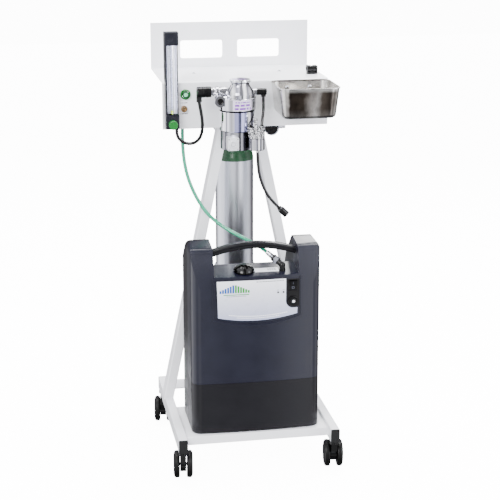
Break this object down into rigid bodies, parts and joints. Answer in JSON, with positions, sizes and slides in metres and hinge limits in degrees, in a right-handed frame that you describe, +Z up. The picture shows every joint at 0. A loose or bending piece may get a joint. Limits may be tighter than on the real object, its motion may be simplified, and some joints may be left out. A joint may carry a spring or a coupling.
{
  "type": "mobile oxygen concentrator station",
  "caption": "Wheeled white A-frame stand carrying a dark oxygen concentrator, a reserve gas cylinder and a shelf panel with flowmeter, flush button, vaporiser, steel tray and hoses.",
  "frame": {"origin": "on the floor, under the middle of the stand between its two rails", "axes": "+Z up, -Y the way the concentrator's controls face, +X the station's right seen from the front"},
  "size_m": [0.4934, 0.493, 1.209],
  "materials": {
    "black_plastic": "satin",
    "brass": "polished",
    "case_dark": "semi-gloss",
    "case_shell": "semi-gloss",
    "chrome": "polished",
    "circuit": "satin",
    "clear": "clear",
    "cylinder_paint": "brushed",
    "float": "gloss",
    "flow_block": "gloss",
    "gloss_black": "gloss",
    "green_hose": "satin",
    "green_plastic": "gloss",
    "label_print": "satin",
    "light_grey": "gloss",
    "motor_metal": "satin",
    "rubber": "matte",
    "steel_tray": "polished",
    "white_steel": "satin"
  },
  "bodies": {
    "stand": {"aux_fitting": "brass", "case_front": "case_shell", "case_front_lower": "case_dark", "case_handle": "black_plastic", "case_rear": "case_dark", "chassis": "black_plastic", "circuit_board": "circuit", "compressor": "motor_metal", "cylinder_bracket": "white_steel", "cylinder_seat": "white_steel", "cylinder_valve": "chrome", "filler_block": "chrome", "flowmeter_block": "flow_block", "flowmeter_hose": "rubber", "flowmeter_tube": "clear", "flush_bezel": "green_plastic", "gas_elbows": "black_plastic", "hose_clip": "black_plastic", "hose_connector": "light_grey", "instrument_tray": "steel_tray", "labels": "label_print", "link_hose": "rubber", "outlet_coupling": "chrome", "outlet_elbow": "black_plastic", "outlet_manifold": "chrome", "oxygen_cylinder": "cylinder_paint", "patient_hose": "rubber", "platform": "white_steel", "power_inlet": "black_plastic", "pressure_gauge": "black_plastic", "rail_caps": "black_plastic", "regulator": "chrome", "screws": "chrome", "side_rails": "white_steel", "sieve_beds": "motor_metal", "supply_hose": "green_hose", "switch_plate": "black_plastic", "top_panel": "white_steel", "uprights": "white_steel", "vaporiser_body": "chrome", "vaporiser_mount": "motor_metal"},
    "swivel_front_left": {"caster_swivel_front_left": "gloss_black"},
    "wheels_front_left": {"caster_wheels_front_left": "rubber"},
    "swivel_front_right": {"caster_swivel_front_right": "gloss_black"},
    "wheels_front_right": {"caster_wheels_front_right": "rubber"},
    "swivel_rear_left": {"caster_swivel_rear_left": "gloss_black"},
    "wheels_rear_left": {"caster_wheels_rear_left": "rubber"},
    "swivel_rear_right": {"caster_swivel_rear_right": "gloss_black"},
    "wheels_rear_right": {"caster_wheels_rear_right": "rubber"},
    "power_rocker": {"power_rocker": "black_plastic"},
    "breaker_button": {"breaker_button": "light_grey"},
    "flow_knob": {"flow_knob": "black_plastic"},
    "fan_rotor": {"fan_rotor": "black_plastic"},
    "filter_grille": {"filter_grille": "black_plastic"},
    "valve_spindle": {"valve_spindle": "chrome"},
    "yoke_screw": {"yoke_screw": "chrome"},
    "vaporiser_dial": {"vaporiser_dial": "chrome"},
    "flowmeter_float": {"flowmeter_float": "float"},
    "flowmeter_knob": {"flowmeter_knob": "green_plastic"},
    "flush_button": {"flush_button": "green_plastic"}
  },
  "joints": [
    {"name": "swivel_front_left", "type": "hinge", "parent": "stand", "child": "swivel_front_left", "pos_m": [-0.213, -0.2305, 0.087], "axis": [0, 0, 1], "continuous": true},
    {"name": "roll_front_left", "type": "hinge", "parent": "swivel_front_left", "child": "wheels_front_left", "pos_m": [-0.20948, -0.20373, 0.038], "axis": [0.9914, -0.1305, 0], "continuous": true},
    {"name": "swivel_front_right", "type": "hinge", "parent": "stand", "child": "swivel_front_right", "pos_m": [0.213, -0.2305, 0.087], "axis": [0, 0, 1], "continuous": true},
    {"name": "roll_front_right", "type": "hinge", "parent": "swivel_front_right", "child": "wheels_front_right", "pos_m": [0.21652, -0.20373, 0.038], "axis": [0.9914, -0.1305, 0], "continuous": true},
    {"name": "swivel_rear_left", "type": "hinge", "parent": "stand", "child": "swivel_rear_left", "pos_m": [-0.213, 0.2305, 0.087], "axis": [0, 0, 1], "continuous": true},
    {"name": "roll_rear_left", "type": "hinge", "parent": "swivel_rear_left", "child": "wheels_rear_left", "pos_m": [-0.21652, 0.20373, 0.038], "axis": [-0.9914, 0.1305, 0], "continuous": true},
    {"name": "swivel_rear_right", "type": "hinge", "parent": "stand", "child": "swivel_rear_right", "pos_m": [0.213, 0.2305, 0.087], "axis": [0, 0, 1], "continuous": true},
    {"name": "roll_rear_right", "type": "hinge", "parent": "swivel_rear_right", "child": "wheels_rear_right", "pos_m": [0.20948, 0.20373, 0.038], "axis": [-0.9914, 0.1305, 0], "continuous": true},
    {"name": "power_rocker_tilt", "type": "hinge", "parent": "stand", "child": "power_rocker", "pos_m": [0.1, -0.1885, 0.536], "axis": [-1, 0, 0], "range_deg": [0, 16]},
    {"name": "breaker_press", "type": "slide", "parent": "stand", "child": "breaker_button", "axis": [0, 1, 0], "range_m": [0, 0.003], "stiffness_N_per_m": 250},
    {"name": "flow_knob_turn", "type": "hinge", "parent": "stand", "child": "flow_knob", "pos_m": [-0.03, -0.15788, 0.57243], "axis": [0, -0.1392, 0.9903], "range_deg": [0, 270]},
    {"name": "fan_spin", "type": "hinge", "parent": "stand", "child": "fan_rotor", "pos_m": [0, -0.045, 0.235], "axis": [0, 1, 0], "continuous": true},
    {"name": "filter_pull", "type": "slide", "parent": "stand", "child": "filter_grille", "axis": [0, 1, 0], "range_m": [0, 0.03]},
    {"name": "valve_turn", "type": "hinge", "parent": "stand", "child": "valve_spindle", "pos_m": [0, 0.1705, 0.94], "axis": [0, 0, 1], "range_deg": [0, 270]},
    {"name": "yoke_screw_turn", "type": "hinge", "parent": "stand", "child": "yoke_screw", "pos_m": [-0.05, 0.1705, 0.909], "axis": [1, 0, 0], "range_deg": [0, 360]},
    {"name": "vaporiser_dial_turn", "type": "hinge", "parent": "stand", "child": "vaporiser_dial", "pos_m": [-0.029, -0.0965, 1.08], "axis": [0, 0, 1], "range_deg": [0, 270]},
    {"name": "float_rise", "type": "slide", "parent": "stand", "child": "flowmeter_float", "axis": [0, 0, 1], "range_m": [0, 0.165]},
    {"name": "flowmeter_knob_turn", "type": "hinge", "parent": "stand", "child": "flowmeter_knob", "pos_m": [-0.2055, -0.0565, 0.964], "axis": [0, 1, 0], "range_deg": [0, 720]},
    {"name": "flush_press", "type": "slide", "parent": "stand", "child": "flush_button", "axis": [0, 1, 0], "range_m": [0, 0.004], "stiffness_N_per_m": 300}
  ]
}
